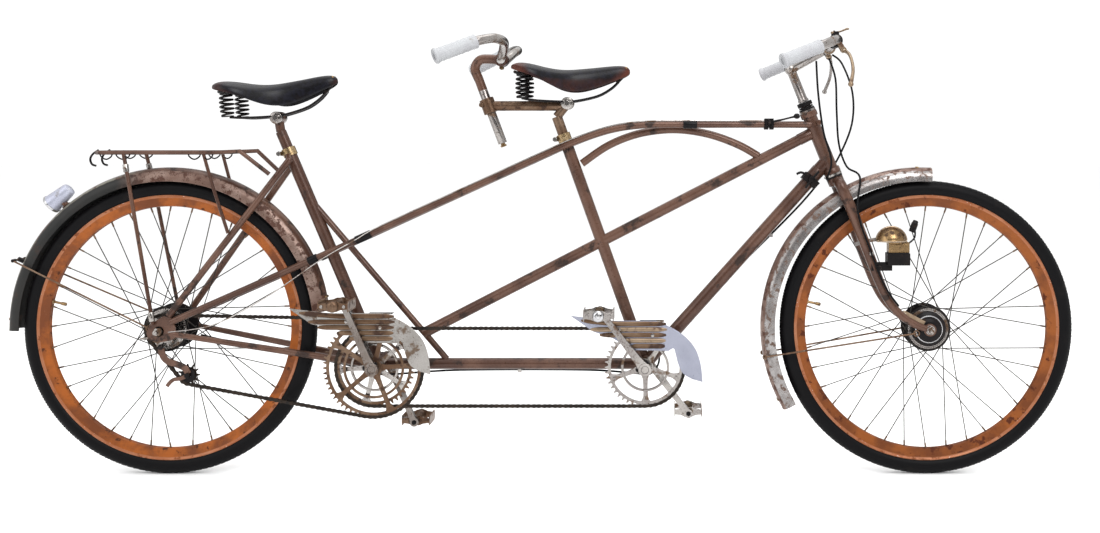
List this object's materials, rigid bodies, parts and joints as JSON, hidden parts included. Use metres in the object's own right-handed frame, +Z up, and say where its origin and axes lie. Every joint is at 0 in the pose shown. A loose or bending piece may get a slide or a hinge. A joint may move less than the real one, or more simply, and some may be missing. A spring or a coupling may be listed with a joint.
{
  "type": "tandem bicycle",
  "caption": "Vintage tandem bicycle with a slender twin-tube frame, steered fork, coupled cranks, drum hubs, sprung leather saddles, rack, lamp and fluted chainguards.",
  "frame": {"origin": "on the ground under the middle of the bicycle", "axes": "+X forward, +Z up, the chain side at -Y"},
  "size_m": [2.5809, 0.59, 1.0731],
  "materials": {
    "frame_paint": "worn reddish-brown bronze paint",
    "mudguard_paint": "worn reddish-brown paint, chipped to metal along the sides",
    "worn_plating": "worn chrome plating with brown freckles",
    "guard_paint": "brown rust over chrome, bright at the ends",
    "plating": "dulled chrome plating",
    "post_paint": "brown paint and rust",
    "brass": "dull brass",
    "ring_paint": "brown rust",
    "chain_steel": "dark oiled steel",
    "black_paint": "black paint and old grease",
    "lever_paint": "brown paint",
    "cable_cover": "black cable cover",
    "grip_plastic": "pale grey plastic",
    "tyre": "black rubber",
    "rim_paint": "orange-brown paint and rust",
    "spoke_steel": "dull steel wire",
    "saddle_leather": "polished black leather, worn red-brown at the edges"
  },
  "bodies": {
    "frame": {"head_tube": "frame_paint", "headset_cups": "plating", "down_tube": "frame_paint", "diagonal_tubes": "frame_paint", "bottom_tube": "frame_paint", "captain_seat_tube": "frame_paint", "stoker_seat_tube": "frame_paint", "lateral_tubes": "frame_paint", "arch_tube": "frame_paint", "rear_stays": "frame_paint", "bottom_brackets": "frame_paint", "seat_collars": "brass", "rear_mudguard": "mudguard_paint", "luggage_rack": "frame_paint", "rear_lamp": "plating", "rear_axle": "plating", "tensioner_arm": "frame_paint", "captain_chainguard": "worn_plating", "stoker_chainguard": "guard_paint", "timing_chain": "chain_steel", "drive_chain": "chain_steel", "frame_cable": "cable_cover", "lever_clamps": "black_paint"},
    "steering": {"fork": "frame_paint", "stem": "plating", "captain_bar": "plating", "captain_grips": "grip_plastic", "front_mudguard": "worn_plating", "front_axle": "plating", "fork_lamp": "brass", "lever_mounts": "brass", "fork_cable": "cable_cover", "bar_cables": "cable_cover"},
    "brake_lever_r": {"brake_lever_right": "lever_paint"},
    "brake_lever_l": {"brake_lever_left": "lever_paint"},
    "thumb": {"thumb_lever": "black_paint"},
    "gear": {"gear_lever": "black_paint"},
    "front_wheel": {"front_tyre": "tyre", "front_rim": "rim_paint", "front_spokes": "spoke_steel", "front_hub": "black_paint"},
    "rear_wheel": {"rear_tyre": "tyre", "rear_rim": "rim_paint", "rear_spokes": "spoke_steel", "rear_hub": "black_paint"},
    "freewheel": {"sprocket": "plating"},
    "pulley": {"tension_pulley": "chain_steel"},
    "captain_crankset": {"captain_cranks": "plating", "captain_ring": "plating"},
    "stoker_crankset": {"stoker_cranks": "plating", "stoker_rings": "ring_paint"},
    "captain_pedal_r": {"captain_pedal_right": "brass"},
    "captain_pedal_l": {"captain_pedal_left": "brass"},
    "stoker_pedal_r": {"stoker_pedal_right": "ring_paint"},
    "stoker_pedal_l": {"stoker_pedal_left": "ring_paint"},
    "captain_seat": {"captain_seat_post": "plating", "captain_saddle": "saddle_leather"},
    "stoker_seat": {"stoker_seat_post": "post_paint", "stoker_saddle": "saddle_leather"},
    "stoker_handlebar": {"stoker_bar": "plating"}
  },
  "joints": [
    {"name": "steering_turn", "type": "hinge", "parent": "frame", "child": "steering", "pos_m": [0.6802, 0, 0.8007], "axis": [-0.3746, 0, 0.9272], "range_deg": [-45, 45], "deforming": ["bar_cables"]},
    {"name": "front_wheel_spin", "type": "hinge", "parent": "steering", "child": "front_wheel", "pos_m": [0.9348, 0, 0.3555], "axis": [0, 1, 0], "continuous": true},
    {"name": "rear_wheel_spin", "type": "hinge", "parent": "frame", "child": "rear_wheel", "pos_m": [-0.9007, 0, 0.3555], "axis": [0, 1, 0], "continuous": true},
    {"name": "stoker_crank_turn", "type": "hinge", "parent": "frame", "child": "stoker_crankset", "pos_m": [-0.3945, 0, 0.266], "axis": [0, 1, 0], "continuous": true},
    {"name": "captain_crank_turn", "type": "hinge", "parent": "frame", "child": "captain_crankset", "pos_m": [0.2532, 0, 0.266], "axis": [0, 1, 0], "continuous": true},
    {"name": "sprocket_spin", "type": "hinge", "parent": "frame", "child": "freewheel", "pos_m": [-0.9007, 0, 0.3555], "axis": [0, 1, 0], "continuous": true},
    {"name": "pulley_spin", "type": "hinge", "parent": "frame", "child": "pulley", "pos_m": [-0.835, 0, 0.25], "axis": [0, 1, 0], "continuous": true},
    {"name": "captain_pedal_right_spin", "type": "hinge", "parent": "captain_crankset", "child": "captain_pedal_r", "pos_m": [0.14667, 0, 0.40484], "axis": [0, 1, 0], "continuous": true},
    {"name": "captain_pedal_left_spin", "type": "hinge", "parent": "captain_crankset", "child": "captain_pedal_l", "pos_m": [0.35973, 0, 0.12716], "axis": [0, 1, 0], "continuous": true},
    {"name": "stoker_pedal_right_spin", "type": "hinge", "parent": "stoker_crankset", "child": "stoker_pedal_r", "pos_m": [-0.46428, 0, 0.42649], "axis": [0, 1, 0], "continuous": true},
    {"name": "stoker_pedal_left_spin", "type": "hinge", "parent": "stoker_crankset", "child": "stoker_pedal_l", "pos_m": [-0.32472, 0, 0.10551], "axis": [0, 1, 0], "continuous": true},
    {"name": "brake_lever_right_pull", "type": "hinge", "parent": "steering", "child": "brake_lever_r", "pos_m": [0.717, 0, 1.02], "axis": [0, 1, 0], "range_deg": [0, 24], "stiffness_Nm_per_rad": 0.6, "springref_deg": -22.92},
    {"name": "brake_lever_left_pull", "type": "hinge", "parent": "steering", "child": "brake_lever_l", "pos_m": [0.717, 0, 1.02], "axis": [0, 1, 0], "range_deg": [0, 24], "stiffness_Nm_per_rad": 0.6, "springref_deg": -22.92},
    {"name": "thumb_lever_turn", "type": "hinge", "parent": "steering", "child": "thumb", "pos_m": [0.699, -0.094, 1.063], "axis": [0, 0, 1], "range_deg": [-30, 30]},
    {"name": "gear_lever_turn", "type": "hinge", "parent": "frame", "child": "gear", "pos_m": [0.552, -0.034, 0.852], "axis": [0, 1, 0], "range_deg": [-60, 0]},
    {"name": "captain_seat_height", "type": "slide", "parent": "frame", "child": "captain_seat", "axis": [-0.3378, 0, 0.9412], "range_m": [-0.03, 0.05]},
    {"name": "stoker_seat_height", "type": "slide", "parent": "frame", "child": "stoker_seat", "axis": [-0.3908, 0, 0.9205], "range_m": [-0.03, 0.05]},
    {"name": "stoker_bar_height", "type": "slide", "parent": "captain_seat", "child": "stoker_handlebar", "axis": [-0.3489, 0, 0.9371], "range_m": [-0.02, 0.05]}
  ],
  "couplings": [
    {"joint": "captain_crank_turn", "follows": "stoker_crank_turn", "ratio": 1},
    {"joint": "sprocket_spin", "follows": "stoker_crank_turn", "ratio": 3.2222},
    {"joint": "pulley_spin", "follows": "stoker_crank_turn", "ratio": 5.2727}
  ]
}
